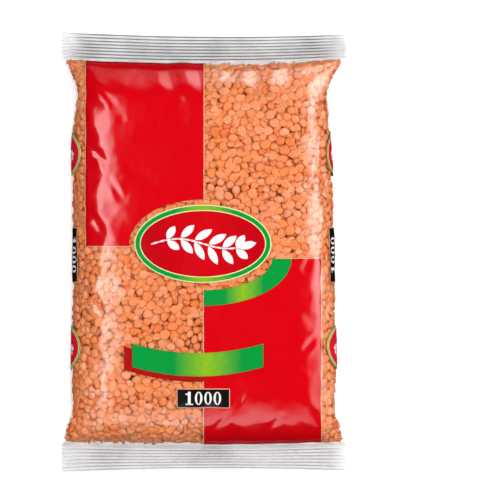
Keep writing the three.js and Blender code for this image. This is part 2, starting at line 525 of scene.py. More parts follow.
def makeFilm():
    rows, columns = filmRows(), filmColumns()
    count = len(columns)
    points = skin(rows[:, None], columns[None, :]).reshape(-1, 3)
    ends = []  # the strips that close each free edge, from the front wall to the back one
    for first, flip in ((0, 1), ((len(rows) - 1) * count, -1)):
        for step in range(count // 2):
            front = [first + step, first + step + 1]
            back = [first + (count - step) % count, first + count - step - 1]
            ends.append([front[0], front[1], back[1], back[0]][::flip])
    faces = halved(np.concatenate([tubeQuads(len(rows), count), np.array(ends)]))
    onSeal = (np.abs((rows[:-1] + rows[1:]) / 2) > half - filmLook["hem"]).repeat(count)
    sealed = np.tile(np.concatenate([onSeal, np.ones(len(ends), bool)]), 2)
    real = (faces[:, 0] != faces[:, 1]) & (faces[:, 1] != faces[:, 2]) & (faces[:, 0] != faces[:, 2])
    faces, sealed = faces[real], sealed[real]

    x, y, z = points.T
    past = np.abs(rows) - half
    bottomShare = np.where(past > filmLook["bottomStart"], filmLook["bottomGrooveShade"], 0)
    # painted shade in the grooves, which the seal's material reads as groove
    depth = np.where(rows > 0, filmLook["topGrooveShade"], bottomShare) * grooveAt(past)
    endFade = np.clip((filmLook["grooveEnd"][1] - np.abs(x)) / np.ptp(filmLook["grooveEnd"]), 0, 1)
    dull = sum(share * bell(np.hypot((x - spot[0]) / reach[0], (y - spot[1]) / reach[1]), 1)
               for spot, reach, share in filmLook["slack"])
    dull = dull * np.clip((z - pack["backDrop"]) / filmLook["slackRise"], 0, 1)
    hem = bell((past + filmLook["hem"] * 0.5) / filmLook["hem"], filmLook["hemWidth"])
    base = np.where(rows > 0, filmLook["sealHaze"], filmLook["bottomHaze"])
    cover = base + filmLook["grooveHaze"] * grooveAt(past) + filmLook["hemHaze"] * hem
    makePiece("film", points, faces, [clearFilmMaterial(), sealFilmMaterial()], sealed, {
        "groove": depth.repeat(count) * endFade,
        "sheen": 1 - dull,
        "haze": np.minimum(1, cover.repeat(count)),
    })
    return points, faces


filmPoints, filmFaces = makeFilm()

# Prints: fields of ink under the film, cut from patches that lie on it


def facePlace(front):  # from x and the length along the film to a place on the skin
    def place(spots):
        x, v = spots[:, 0], spots[:, 1]
        flat = pack["faceFlatness"] if front else pack["backFlatness"]
        roundness, faceEnd = pack["sideRoundness"], pack["faceEnd"]
        corner = cornerAt(v)
        across = np.clip((x - lean(v)) / halfWidth(v), -0.9999, 0.9999)
        size = np.abs(across)
        cornerUp = (1 - corner ** flat) ** (1 / roundness)
        sideShare = 1 - np.minimum(1, (1 - size ** flat) ** (1 / roundness) / cornerUp)
        out = np.where(size <= corner, faceEnd * size / corner, faceEnd + (1 - faceEnd) * sideShare)
        out = np.sign(across) * out
        turn = 1 - out if front else 3 + out
        return v, turn % fullTurn
    return place


def sidePlace(right):  # from the girth past mid side, towards the front, and the length along the film
    def place(spots):
        offset = spots[:, 0] if right else around(2.0) - spots[:, 0]
        return spots[:, 1], np.interp(offset % girth, girthLengths, girthTurns)
    return place


def clipTo(points, triangles, keep):  # the part of a patch where keep is above zero
    value = keep(points[:, 0], points[:, 1])
    value = np.where(np.abs(value) < 1e-6, 1e-6, value)
    inside = value > 0
    count = inside[triangles].sum(1)
    kept = triangles[count == 3].tolist()
    added, crossings = [], {}

    def crossing(a, b):
        key = (min(a, b), max(a, b))
        if key not in crossings:
            low, high = key
            share = value[low] / (value[low] - value[high])
            crossings[key] = len(points) + len(added)
            added.append(points[low] + (points[high] - points[low]) * share)
        return crossings[key]

    for triangle in triangles[(count == 1) | (count == 2)].tolist():
        flags = [bool(inside[corner]) for corner in triangle]
        alone = flags.index(sum(flags) == 1)
        a, b, c = triangle[alone:] + triangle[:alone]
        ab, ac = crossing(a, b), crossing(a, c)
        kept += [[a, ab, ac]] if sum(flags) == 1 else [[ab, b, c], [ab, c, ac]]
    if added:
        points = np.concatenate([points, added])
    return points, np.array(kept, int).reshape(-1, 3)


def patch(xRange, yRange, step, keeps=()):
    columns = max(2, math.ceil((xRange[1] - xRange[0]) / step) + 1)
    rows = max(2, math.ceil((yRange[1] - yRange[0]) / step) + 1)
    x, y = np.meshgrid(np.linspace(*xRange, columns), np.linspace(*yRange, rows))
    points = np.stack([x.ravel(), y.ravel()], axis=1)
    row, column = np.meshgrid(np.arange(rows - 1), np.arange(columns - 1), indexing="ij")
    a = (row * columns + column).ravel()
    triangles = np.concatenate([
        np.stack([a, a + 1, a + columns + 1], axis=1),
        np.stack([a, a + columns + 1, a + columns], axis=1),
    ])
    for keep in keeps:
        points, triangles = clipTo(points, triangles, keep)
    return points, triangles


def joined(patches):
    points, triangles, start = [], [], 0
    for somePoints, someTriangles in patches:
        points.append(somePoints)
        triangles.append(someTriangles + start)
        start += len(somePoints)
    return np.concatenate(points), np.concatenate(triangles)


inkThickness = 0.012


def shell(patches, place, sink):  # a thin closed layer of ink, that far under the film
    spots, triangles = joined(patches)
    used, triangles = np.unique(triangles, return_inverse=True)
    spots, triangles = spots[used], triangles.reshape(-1, 3)
    v, turn = place(spots)
    upper, lower = skin(v, turn, sink), skin(v, turn, sink + inkThickness)
    a, b, c = (upper[triangles[:, i]] for i in range(3))
    facing = (np.cross(b - a, c - a) * outward(v, turn)[triangles[:, 0]]).sum()
    if facing < 0:
        triangles = triangles[:, ::-1]
    edges = np.concatenate([triangles[:, [0, 1]], triangles[:, [1, 2]], triangles[:, [2, 0]]])
    keys = np.sort(edges, axis=1)
    _, index, times = np.unique(keys, axis=0, return_index=True, return_counts=True)
    rim = edges[index[times == 1]]
    count = len(upper)
    walls = np.concatenate([
        np.stack([rim[:, 1], rim[:, 0], rim[:, 0] + count], axis=1),
        np.stack([rim[:, 1], rim[:, 0] + count, rim[:, 1] + count], axis=1),
    ])
    faces = np.concatenate([triangles, triangles[:, ::-1] + count, walls])
    return np.concatenate([upper, lower]), faces


def makePrint(name, parts, ink):  # a part is its patches, where they lie, and how far under the film
    points, faces = joined([shell(*part) for part in parts])
    makePiece(name, points, faces, [ink])


inkColors = {
    "red": (0.63, 0.0008, 0.0052, 1),
    "redDark": (0.58, 0.0010, 0.0055, 1),
    "badgeRed": (0.60, 0.0014, 0.0065, 1),
    "badgeRedEnds": (0.47, 0.0010, 0.0060, 1),
    # painted light: the side badges' red is brighter and pinker than the front badge's, as if lit more
    "sideRedPaintedLight": (0.74, 0.012, 0.032, 1),
    "shadowRed": (0.36, 0.006, 0.006, 1),
    "green": (0.003, 0.30, 0.045, 1),
    "greenDark": (0.002, 0.24, 0.035, 1),
    "lime": (0.27, 0.50, 0.012, 1),
    "cream": (0.74, 0.80, 0.36, 1),
    "creamDark": (0.62, 0.70, 0.30, 1),
    "white": (0.88, 0.86, 0.85, 1),
    "whiteDark": (0.80, 0.78, 0.77, 1),
    "black": (0.008, 0.006, 0.005, 1),
    "blackDark": (0.004, 0.003, 0.003, 1),
    "pale": (0.84, 0.42, 0.28, 1),
}
greenLime = [(0.0, "green"), (0.27, "green"), (0.5, "lime"), (0.76, "green"), (1.0, "green")]
darkEnds = [(0.0, "badgeRedEnds"), (0.5, "badgeRed"), (1.0, "badgeRedEnds")]
fromShadow = [(0.0, "shadowRed"), (0.52, "shadowRed"), (0.6, "redDark"), (1.0, "redDark")]
inkLooks = {  # colour and speckle, and for some a ramp across the pack and its range in metres
    "redInk": ("red", "redDark"),
    "badgeRedInk": ("badgeRed", "redDark", darkEnds, (-0.030, 0.030)),
    "shadowInk": ("shadowRed", "redDark", fromShadow, (-0.040, 0.033)),
    "ribbonInk": ("green", "greenDark", greenLime, (-0.034, 0.036)),
    "swooshInk": ("green", "greenDark", greenLime, (0.0, 0.040)),
    "ringInk": ("green", "greenDark", greenLime, (-0.030, 0.030)),
    "sideRingInk": ("green", "greenDark"),
    "sideRedInkPaintedLight": ("sideRedPaintedLight", "redDark"),
    "creamInk": ("cream", "creamDark"),
    "whiteInk": ("white", "whiteDark"),
    "blackInk": ("black", "blackDark"),
    "paleInk": ("pale", "creamDark"),
}


def inkMaterial(name, color, darkColor, ramp=None, rampRange=None):
    material, tree = newMaterial(name)
    shade = inkColors[color]
    if ramp:
        place = addNode(tree, "ShaderNodeTexCoord", (-800, 0))
        parts = addNode(tree, "ShaderNodeSeparateXYZ", (-600, 0), {"Vector": place.outputs["Object"]})
        spread = addNode(tree, "ShaderNodeMapRange", (-400, 0), {
            "Value": parts.outputs["X"], "From Min": rampRange[0], "From Max": rampRange[1]})
        stops = [(position, inkColors[stop]) for position, stop in ramp]
        shade = addRamp(tree, (-200, 0), spread.outputs["Result"], stops)
    grain = addGrain(tree, (100, 0), shade, inkColors[darkColor], 420.0, 0.25)
    grainedSurface(tree, grain, (0.05, 0.0002), {"Roughness": 0.55, "Specular IOR Level": 0.0})
    return material


inks = {name: inkMaterial(name, *look) for name, look in inkLooks.items()}

sinks = {"field": 0.22, "low": 0.20, "under": 0.18, "middle": 0.16, "over": 0.14, "top": 0.12}
onFront, onBack, onRight, onLeft = facePlace(True), facePlace(False), sidePlace(True), sidePlace(False)


def ovalValue(x, y, center, size):  # above zero inside an ellipse, about millimetres near its edge
    away = np.sqrt(((x - center[0]) / size[0]) ** 2 + ((y - center[1]) / size[1]) ** 2)
    return (1 - away) * min(size)


def inOval(center, size):
    return lambda x, y: ovalValue(x, y, center, size)


def outOfOval(center, size):
    return lambda x, y: -ovalValue(x, y, center, size)


badge = {
    "center": (-0.4, 4.2),
    "size": (34.8, 19.9),  # half its width and height, out to the outer line
    "outerLine": 0.6,
    "ring": 2.1,
    "innerLine": 0.55,
    "overlap": 0.25,  # each ring runs on this far under the next one
    "clearMargin": 2.6,
    "step": 0.8,
    "centerStep": 1.1,
}
swoosh = {"center": (0.0, -3.5), "inner": (34.7, 15.8), "outer": (44.6, 23.8), "top": -3.5}
fields = {
    "left": -60.2,
    "right": 59.7,
    "leftBottom": 3.0,
    "rightTop": -3.4,
    "sealGap": 1.1,
    "backGap": 5.0,
    "paleLine": 0.34,  # the white underprint shows this far past the red
    "lineOverlap": 0.1,
    "lineEnds": (-34.0, 36.0),  # where the level lines end, under the badge and the swoosh
    "steps": (1.1, 1.6, 0.8),  # of the front, the back and the lines
}
bandStep = 0.8


def shrunk(size, by):
    return (size[0] - by, size[1] - by)


def makeRedFields():
    left, right, bottom, top = (fields[side] for side in ("left", "right", "leftBottom", "rightTop"))
    step, backStep, lineStep = fields["steps"]
    end = half - fields["sealGap"]
    backEnd = end - fields["backGap"]
    margin = shrunk(badge["size"], -badge["clearMargin"])
    clearOfBadge = outOfOval(badge["center"], margin)
    clearOfSwoosh = outOfOval(swoosh["center"], swoosh["inner"])
    upper = patch((left, 0), (bottom, end), step, [clearOfBadge])
    lower = patch((0, right), (-end, top), step, [clearOfSwoosh, clearOfBadge])
    backs = [patch((0, -left), (bottom, backEnd), backStep), patch((-right, 0), (-backEnd, top), backStep)]
    makePrint("red_fields", [
        ([upper], onFront, sinks["field"]),
        ([lower], onFront, sinks["field"]),
        (backs, onBack, sinks["field"]),
    ], inks["redInk"])
    line, overlap = fields["paleLine"], fields["lineOverlap"]
    lines = [
        ((left - line, left), (bottom - line, end)),
        ((-overlap, line), (badge["center"][1] + badge["size"][1] + badge["clearMargin"], end)),
        ((left, fields["lineEnds"][0]), (bottom - line, bottom)),
        ((right, right + line), (-end, top + line)),
        ((-line, overlap), (-end, swoosh["top"] - swoosh["inner"][1])),
        ((fields["lineEnds"][1], right), (top, top + line)),
    ]
    edges = [patch(*ranges, lineStep) for ranges in lines]
    makePrint("field_edges", [(edges, onFront, sinks["field"])], inks["paleInk"])


makeRedFields()


def lens(start, end, width, step=0.6):  # a leaf shape between two points
    start, end = np.array(start, float), np.array(end, float)
    span = end - start
    length = np.linalg.norm(span)
    radius = (length ** 2 / 4 + (width / 2) ** 2) / width
    aside = np.array([-span[1], span[0]]) / length
    middle = (start + end) / 2
    keeps = []
    for sign in (1, -1):
        center = middle + sign * aside * (radius - width / 2)
        keeps.append(lambda x, y, c=center: radius - np.hypot(x - c[0], y - c[1]))
    low = np.minimum(start, end) - width / 2
    high = np.maximum(start, end) + width / 2
    return patch((low[0], high[0]), (low[1], high[1]), step, keeps)


sprig = {
    "reach": 25.5,  # half the length of the stem
    "sway": 2.6,
    "stem": 0.9,
    "stemPieces": 14,
    "stemOverlap": 1.2,
    "stemStep": 0.3,
    "stemEnd": 6,  # the stem stops this far short, inside the end leaf
    "endLeaf": (7.5, 1.5),
    "pairs": 6,
    "pairEnds": (7, 9),  # how far the first and last pairs are from the ends
    "leafLength": 9.6,
    "leafWidth": 3.9,
    "leafAngle": 46,
    "leafSizes": (0.78, 0.3),  # at the ends, and added in the middle
    "leafBase": (0.5, 0.6),  # where a leaf starts, beside the stem
}


def sprigPatches(center, scale):
    reach, width, lap = sprig["reach"], sprig["leafWidth"] * scale, sprig["stemOverlap"]

    def stemY(x):
        return -sprig["sway"] * math.sin(math.pi * x / reach)

    def spot(x, y):
        return (center[0] + x * scale, center[1] + y * scale)

    def onStem(x):
        return spot(x, stemY(x))

    pieces, (least, more) = sprig["stemPieces"], sprig["leafSizes"]
    ends = [mix(-reach, reach - sprig["stemEnd"], k / pieces) for k in range(pieces + 1)]
    patches = [lens(onStem(x0 - lap), onStem(x1 + lap), sprig["stem"] * scale, sprig["stemStep"])
               for x0, x1 in zip(ends, ends[1:])]
    for k in range(sprig["pairs"]):
        share = k / (sprig["pairs"] - 1)
        x = mix(-reach + sprig["pairEnds"][0], reach - sprig["pairEnds"][1], share)
        size = sprig["leafLength"] * (least + more * math.sin(math.pi * share))
        slope = stemY(x + 0.5) - stemY(x - 0.5)
        for side in (1, -1):
            angle = math.atan(slope) + side * math.radians(sprig["leafAngle"])
            base = (x + sprig["leafBase"][0] * math.cos(angle), stemY(x) + sprig["leafBase"][1] * side)
            tip = (base[0] + size * math.cos(angle), base[1] + size * math.sin(angle))
            patches.append(lens(spot(*base), spot(*tip), width))
    before, after = sprig["endLeaf"]
    patches.append(lens(onStem(reach - before), onStem(reach + after), width))
    return patches


def spans(center, reach):  # the ranges of x and y that reach that far from a centre
    return [(center[k] - reach[k], center[k] + reach[k]) for k in (0, 1)]


def ovalPatch(center, size, step, hole=None):
    keeps = [inOval(center, size)] + ([outOfOval(center, hole)] if hole else [])
    return patch(*spans(center, shrunk(size, -step)), step, keeps)


sideBadge = {
    "size": (18.8, 11.6),
    "outerLine": 0.5,
    "ring": 0.7,
    "innerLine": 0.6,
    "step": 0.8,
    "centerStep": 1.0,
    "sprigScale": 0.42,
    "spots": [  # past mid side towards the front, and along
        (onRight, (-4.8, 50.2)),
        (onRight, (0.0, -48.6)),
        (onLeft, (0.0, 50.0)),
        (onLeft, (0.0, -49.0)),
    ],
}


def badgeParts(center, look, place):  # the cream lines, the ring between them and the red oval
    ring = shrunk(look["size"], look["outerLine"])
    inner = shrunk(ring, look["ring"])
    core = shrunk(inner, look["innerLine"])
    step, overlap = look["step"], badge["overlap"]
    creams = [
        ([ovalPatch(center, look["size"], step, shrunk(ring, overlap))], place, sinks["low"]),
        ([ovalPatch(center, inner, step, shrunk(core, overlap))], place, sinks["middle"]),
    ]
    rings = [([ovalPatch(center, ring, step, shrunk(inner, overlap))], place, sinks["under"])]
    return creams, rings, [([ovalPatch(center, core, look["centerStep"])], place, sinks["over"])]


def makeBadges():
    creams, rings, reds = badgeParts(badge["center"], badge, onFront)
    sprigs = [(sprigPatches(badge["center"], 1.0), onFront, sinks["top"])]
    sideRings, sideReds = [], []
    for place, spot in sideBadge["spots"]:
        parts = badgeParts(spot, sideBadge, place)
        creams += parts[0]
        sideRings += parts[1]
        sideReds += parts[2]
        sprigs.append((sprigPatches(spot, sideBadge["sprigScale"]), place, sinks["top"]))
    makePrint("badge_lines", creams, inks["creamInk"])
    makePrint("badge_ring", rings, inks["ringInk"])
    makePrint("badge_center", reds, inks["badgeRedInk"])
    makePrint("side_rings", sideRings, inks["sideRingInk"])
    makePrint("side_centers", sideReds, inks["sideRedInkPaintedLight"])
    makePrint("sprigs", sprigs, inks["whiteInk"])


makeBadges()

ribbon = {
    "left": -36.3,
    "right": 30.2,
    "height": 11.8,
    "endTop": -46.4,
    "sag": 4.7,
    "shadowLeft": -40.4,
    "shadowRight": 32.8,
    "shadowDrop": 2.6,
}


def ribbonPatch(left, right, drop):
    middle = (ribbon["left"] + ribbon["right"]) / 2
    reach = (ribbon["right"] - ribbon["left"]) / 2

    def top(x):
        return ribbon["endTop"] - drop - ribbon["sag"] * (1 - ((x - middle) / reach) ** 2)

    low, high = ribbon["endTop"] - drop - ribbon["sag"] - ribbon["height"] - 1, ribbon["endTop"] + 2
    return patch((left, right), (low, high), bandStep, [
        lambda x, y: top(x) - y,
        lambda x, y: y - (top(x) - ribbon["height"]),
    ])


def makeSwooshAndRibbon():
    wide, tall = swoosh["outer"]
    curve = patch((0, wide + 0.5), (swoosh["top"] - tall - 1, swoosh["top"]), bandStep, [
        inOval(swoosh["center"], swoosh["outer"]), outOfOval(swoosh["center"], swoosh["inner"])])
    band = ribbonPatch(ribbon["left"], ribbon["right"], 0)
    shadow = ribbonPatch(ribbon["shadowLeft"], ribbon["shadowRight"], ribbon["shadowDrop"])
    makePrint("swoosh", [([curve], onFront, sinks["under"])], inks["swooshInk"])
    makePrint("ribbon", [([band], onFront, sinks["under"])], inks["ribbonInk"])
    makePrint("ribbon_shadow", [([shadow], onFront, sinks["low"])], inks["shadowInk"])


makeSwooshAndRibbon()

label = {
    "center": (-0.2, -73.9),
    "size": (27.0, 9.8),
    "sideCenter": (9.7, -1.5),  # past mid side towards the front, and along
    "sideSize": (9.8, 28.2),
    "border": 0.4,
    "digits": "1000",
    "digitHeight": 6.6,
}
digit = {  # shares of a digit's height, and below them shares of its stroke
    "pitch": 0.72,
    "halfWidth": 0.29,
    "stroke": 0.11,
    "steps": 20,
    "hole": (1.5, 0.6),
    "serif": 2.6,
    "foot": 0.9,
    "flag": (2.2, 1.2),
}


def boxKeeps(xRange, yRange):  # the four cuts that leave a box
    (x0, x1), (y0, y1) = xRange, yRange
    return [lambda x, y: x - x0, lambda x, y: x1 - x, lambda x, y: y - y0, lambda x, y: y1 - y]


def digitPatches(sign, center, height, turned):  # a plain 0 or 1; turned ones read along the pack
    def turnedKeep(keep):
        if turned == 0:
            return lambda x, y: keep(x - center[0], y - center[1])
        return lambda x, y: keep((y - center[1]) * turned, x - center[0])

    wide, tall, thick = height * digit["halfWidth"], height / 2, height * digit["stroke"]
    if sign == "0":
        hole = (wide - thick * digit["hole"][0], tall - thick * digit["hole"][1])
        shapes = [[inOval((0, 0), (wide, tall)), outOfOval((0, 0), hole)]]
    else:
        serif, flag = thick * digit["serif"], digit["flag"]
        shapes = [
            boxKeeps((-thick, thick), (-tall, tall)),
            boxKeeps((-serif, serif), (-tall, -tall + thick * digit["foot"])),
            boxKeeps((-serif, -thick), (tall - thick * flag[0], tall - thick * flag[1])),
        ]
    reach = (tall + 0.4, tall + 0.4)
    return [patch(*spans(center, reach), height / digit["steps"], [turnedKeep(keep) for keep in keeps])
            for keeps in shapes]


def numberPatches(center, turned):
    text, height = label["digits"], label["digitHeight"]
    patches = []
    for k, sign in enumerate(text):
        offset = (k - (len(text) - 1) / 2) * (height * digit["pitch"])
        spot = (center[0], center[1] + offset * turned) if turned else (center[0] + offset, center[1])
        patches += digitPatches(sign, spot, height, turned)
    return patches


def boxPatch(center, size):
    return patch(*spans(center, (size[0] / 2, size[1] / 2)), bandStep)


def makeLabels():
    borders, plates, numbers = [], [], []
    for place, turned, spot, size in (
        (onFront, 0, label["center"], label["size"]),
        (onRight, 1, label["sideCenter"], label["sideSize"]),
        (onLeft, -1, label["sideCenter"], label["sideSize"]),
    ):
        borders.append(([boxPatch(spot, size)], place, sinks["middle"]))
        plates.append(([boxPatch(spot, shrunk(size, 2 * label["border"]))], place, sinks["over"]))
        numbers.append((numberPatches(spot, turned), place, sinks["top"]))
    makePrint("label_border", borders, inks["paleInk"])
    makePrint("label_plates", plates, inks["blackInk"])
    makePrint("label_digits", numbers, inks["whiteInk"])


makeLabels()

backSeam = {"width": 11, "haze": 0.15, "ends": 2.5, "sink": 0.06, "step": 1.8}


def makeBackSeam():  # the back of the film is closed by a plain lap seam
    material, tree = newMaterial("seamFilm")
    clear = addNode(tree, "ShaderNodeBsdfTransparent", (300, 150))
    milky = addNode(tree, "ShaderNodeBsdfPrincipled", (300, 0), {
        "Base Color": filmLook["sealColor"], "Roughness": 0.4})
    mixedSurface(tree, backSeam["haze"], clear, milky)
    reach, top = backSeam["width"] / 2, half - backSeam["ends"]
    strip = patch((-reach, reach), (-top, top), backSeam["step"])
    makePrint("back_seam", [([strip], onBack, backSeam["sink"])], material)


makeBackSeam()

# The lentils


def lentilMaterial(name, tones):
    material, tree = newMaterial(name)
    geometry = addNode(tree, "ShaderNodeNewGeometry", (-700, 100))
    stops = [(position, lentils[tone]) for position, tone in tones]
    color = addRamp(tree, (-450, 100), geometry.outputs["Random Per Island"], stops)
    grain = addGrain(tree, (0, 0), color, lentils["grainColor"], 700.0, 0.45)
    # painted shade: each lentil darkens towards its rim, as if shaded where lentils touch
    weight = addMath(tree, "MULTIPLY", (200, 300), addShare(tree, (0, 300), "rim"), lentils["rimPaintedShade"])
    shade = addMix(tree, (400, 150), weight, grain.outputs["Color"], lentils["rimShadeColor"])
    grainedSurface(tree, grain, (0.3, 0.0002), {"Roughness": 0.5, "Specular IOR Level": 0.35}, shade)
    return material


lentils = {
    "radius": (2.0, 3.0),
    "wholeThickness": 2.0,
    "splitThickness": 1.4,
    "thinBelow": 0.72,  # thickness over radius, which parts the split ones from the whole ones
    "splitShare": 0.5,
    "chipShare": 0.13,
    "flipShare": 0.35,
    "tossed": (0.12, 2.6),  # this share of a layer is tilted that much more
    "oval": 0.15,
    "bulge": (0.86, 1.1),
    "wobble": 0.075,
    "room": (0.55, 1.08),  # how far its middle is kept under the film, lying flat or on edge
    "rounds": 60,
    "frontCover": 0.98,  # share of the skin that the front layer covers
    "frontTight": 0.85,  # how close two lentils come, as a share of their radii
    "frontSink": 1.2,
    "frontDepth": (0.30, 1.15),
    "frontTilt": 0.21,
    "clearance": 0.28,  # between a lentil and the film where there is ink, and where there is none
    "bareClearance": 0.05,
    "inkSpare": 3.6,
    "bannerEnd": -84,  # the ribbon and the label end above this
    "sidePrint": (0.06, 70),  # prints of a side reach this far past its corner, and this far along
    "inkKeep": 4.0,  # lentils further than this under opaque ink are left out
    "deeperStep": 0.35,
    "deeperTries": 4,
    "levelling": 1.1,  # turns lentils on a slope a little towards the viewer
    "gapTries": 16000,
    "gapRoom": 2.0,  # a gap's middle is at least this far from the nearest lentil's
    "gapSpacing": 2.5,
    "gapRadius": (2.0, 2.6),
    "gapDepth": (1.05, 1.6),
    "gapTilt": 0.30,
    "deepRounds": 25,
    "deepCover": 1.12,
    "deepTight": 0.9,
    "deepSink": 3.4,
    "deepDepth": (2.0, 2.7),
    "deepTilt": 0.30,
    # painted shade on each lentil's rim: how strong it is, and its colour
    "rimPaintedShade": 0.56,
    "rimShadeColor": (0.38, 0.080, 0.018, 1),
    "salmon": (0.82, 0.285, 0.118, 1),
    "orange": (0.83, 0.240, 0.060, 1),
    "pale": (0.85, 0.345, 0.170, 1),
    "deep": (0.75, 0.175, 0.035, 1),
    "grainColor": (0.60, 0.13, 0.035, 1),
}
lentilTones = {
    "whole": [(0.0, "deep"), (0.3, "orange"), (0.65, "salmon"), (1.0, "pale")],
    "split": [(0.0, "orange"), (0.35, "salmon"), (0.8, "orange"), (1.0, "pale")],
    "chipped": [(0.0, "deep"), (0.5, "orange"), (1.0, "salmon")],
    "bits": [(0.0, "deep"), (0.4, "orange"), (1.0, "salmon")],
    "under": [(0.0, "deep"), (0.5, "orange"), (1.0, "salmon")],
}
profiles = {  # radius, height and painted shade of the rings of a lentil, from its top to its underside
    "whole": [(0.42, 0.96, 0), (0.74, 0.76, 0), (0.92, 0.42, 0.15), (1.0, -0.05, 1), (0.62, -0.86, 0)],
    "split": [(0.42, 0.95, 0), (0.76, 0.70, 0), (0.93, 0.32, 0.15), (1.0, -0.28, 1), (0.72, -0.66, 0.2)],
}
ringsKept = {"fine": (0, 1, 2, 3, 4), "medium": (0, 2, 3, 4), "coarse": (1, 3, 4)}
chip = {"from": 0.35, "straight": 0.60, "size": 0.92}  # cosines of the side that is cut off, and its size


def lentilShape(kind, segments, detail):  # points of a lentil of radius and half thickness 1, faces, and the painted shade at each point
    profile = profiles["split" if kind == "split" else "whole"]
    rings = [profile[k] for k in ringsKept[detail]]
    points, rim = [(0, 0, 1.0)], [0.0]
    for radius, height, paintedShade in rings:
        for k in range(segments):
            angle = 2 * math.pi * k / segments
            wide = radius
            if kind == "chipped" and math.cos(angle) > chip["from"]:
                wide = radius * (chip["straight"] / max(chip["straight"], math.cos(angle)) * chip["size"])
            points.append((wide * math.cos(angle), wide * math.sin(angle), height))
            rim.append(paintedShade)
    points.append((0, 0, rings[-1][1] - 0.01))
    rim.append(0.0)
    faces = []
    for k in range(segments):
        n = (k + 1) % segments
        faces.append((0, 1 + k, 1 + n))
        for ring in range(len(rings) - 1):
            a, b = 1 + ring * segments, 1 + (ring + 1) * segments
            faces += [(a + k, b + k, b + n), (a + k, b + n, a + n)]
        last = 1 + (len(rings) - 1) * segments
        faces.append((last + n, last + k, len(points) - 1))
    return np.array(points), np.array(faces), np.array(rim)


areaGrid = {"rows": 160, "columns": 241, "margin": 1.0}


def areaSamples(count, rng):  # random places on the filled pack, even by area, and that area
    vLines = np.linspace(-half + areaGrid["margin"], half - areaGrid["margin"], areaGrid["rows"])
    turns = np.linspace(0, fullTurn, areaGrid["columns"])
    grid = bareSkin(*np.broadcast_arrays(vLines[:, None], turns[None, :]))
    along = np.linalg.norm(grid[1:, :-1] - grid[:-1, :-1], axis=-1)
    across = np.linalg.norm(grid[:-1, 1:] - grid[:-1, :-1], axis=-1)
    cells = along * across
    chosen = rng.choice(cells.size, count, p=(cells / cells.sum()).ravel())
    row, column = np.divmod(chosen, cells.shape[1])
    v = vLines[row] + rng.random(count) * (vLines[1] - vLines[0])
    turn = turns[column] + rng.random(count) * (turns[1] - turns[0])
    return v, turn % fullTurn, cells.sum()


def treeOf(points):
    tree = KDTree(len(points))
    for k, point in enumerate(points):
        tree.insert(point, k)
    tree.balance()
    return tree


def closePairs(points, reach):
    tree = treeOf(points)
    pairs = [(k, other) for k, point in enumerate(points) for _, other, _ in tree.find_range(point, reach)
             if other > k]
    return np.array(pairs).T


spreading = {  # in each round, how far two lentils are pushed and how far one may move along and round
    "pairReach": 7.5,
    "pairRounds": 8,
    "push": 0.45,
    "along": 1.5,
    "round": 0.03,
    "margin": 1.4,
}


def spreadOver(cover, tight, sink, rounds, seed):  # round lentils pushed apart until they lie side by side
    rng = np.random.default_rng(seed)
    mean = sum(lentils["radius"]) / 2
    _, _, area = areaSamples(1, rng)
    count = int(area * cover / (math.pi * mean ** 2))
    radii = rng.uniform(*lentils["radius"], count)
    v, turn, _ = areaSamples(count, rng)
    for step in range(rounds):
        place = bareSkin(v, turn) - outward(v, turn) * sink
        if step % spreading["pairRounds"] == 0:
            a, b = closePairs(place, spreading["pairReach"])
        gap = place[b] - place[a]
        distance = np.maximum(np.linalg.norm(gap, axis=1), 1e-6)
        overlap = np.maximum(0, tight * (radii[a] + radii[b]) - distance)
        push = gap / distance[:, None] * (spreading["push"] * overlap)[:, None]
        move = np.zeros_like(place)
        np.add.at(move, a, -push)
        np.add.at(move, b, push)
        along, across = tangents(v, turn)
        alongSize, acrossSize = (along ** 2).sum(1), (across ** 2).sum(1)
        shared = (along * across).sum(1)
        alongMove, acrossMove = (along * move).sum(1), (across * move).sum(1)
        bottom = alongSize * acrossSize - shared ** 2 + 1e-3
        stepV = (acrossSize * alongMove - shared * acrossMove) / bottom
        stepTurn = (alongSize * acrossMove - shared * alongMove) / bottom
        end = half - spreading["margin"]
        v = np.clip(v + np.clip(stepV, -spreading["along"], spreading["along"]), -end, end)
        turn = (turn + np.clip(stepTurn, -spreading["round"], spreading["round"])) % fullTurn
    return v, turn, radii


def between(values, low, high, keep):  # true inside a range, and that far from its ends
    return (values > low + keep) & (values < high - keep)


def onField(x, v, keep, side=1):  # true on the upper and the lower red field, of the back if side is -1
    upper = between(x * side, fields["left"], 0, keep) & (v > fields["leftBottom"] + keep)
    lower = between(x * side, 0, fields["right"], keep) & (v < fields["rightTop"] - keep)
    return upper, lower


def underInk(v, turn):  # true for what opaque ink hides
    x, keep = bareSkin(v, turn)[:, 0], lentils["inkKeep"]
    margin = shrunk(badge["size"], -badge["clearMargin"] - keep)
    hole = shrunk(swoosh["inner"], -keep)
    inBadge = ovalValue(x, v, badge["center"], shrunk(badge["size"], keep)) > 0
    upper, lower = onField(x, v, keep)
    upper &= ovalValue(x, v, badge["center"], margin) < 0
    lower &= ovalValue(x, v, swoosh["center"], hole) < 0
    backUpper, backLower = onField(x, v, keep, -1)
    clearOfSeals = np.abs(v) < half - fields["sealGap"] - fields["backGap"] - keep
    front = (turn > 0) & (turn < 2)
    return np.where(front, inBadge | upper | lower, (backUpper | backLower) & clearOfSeals)


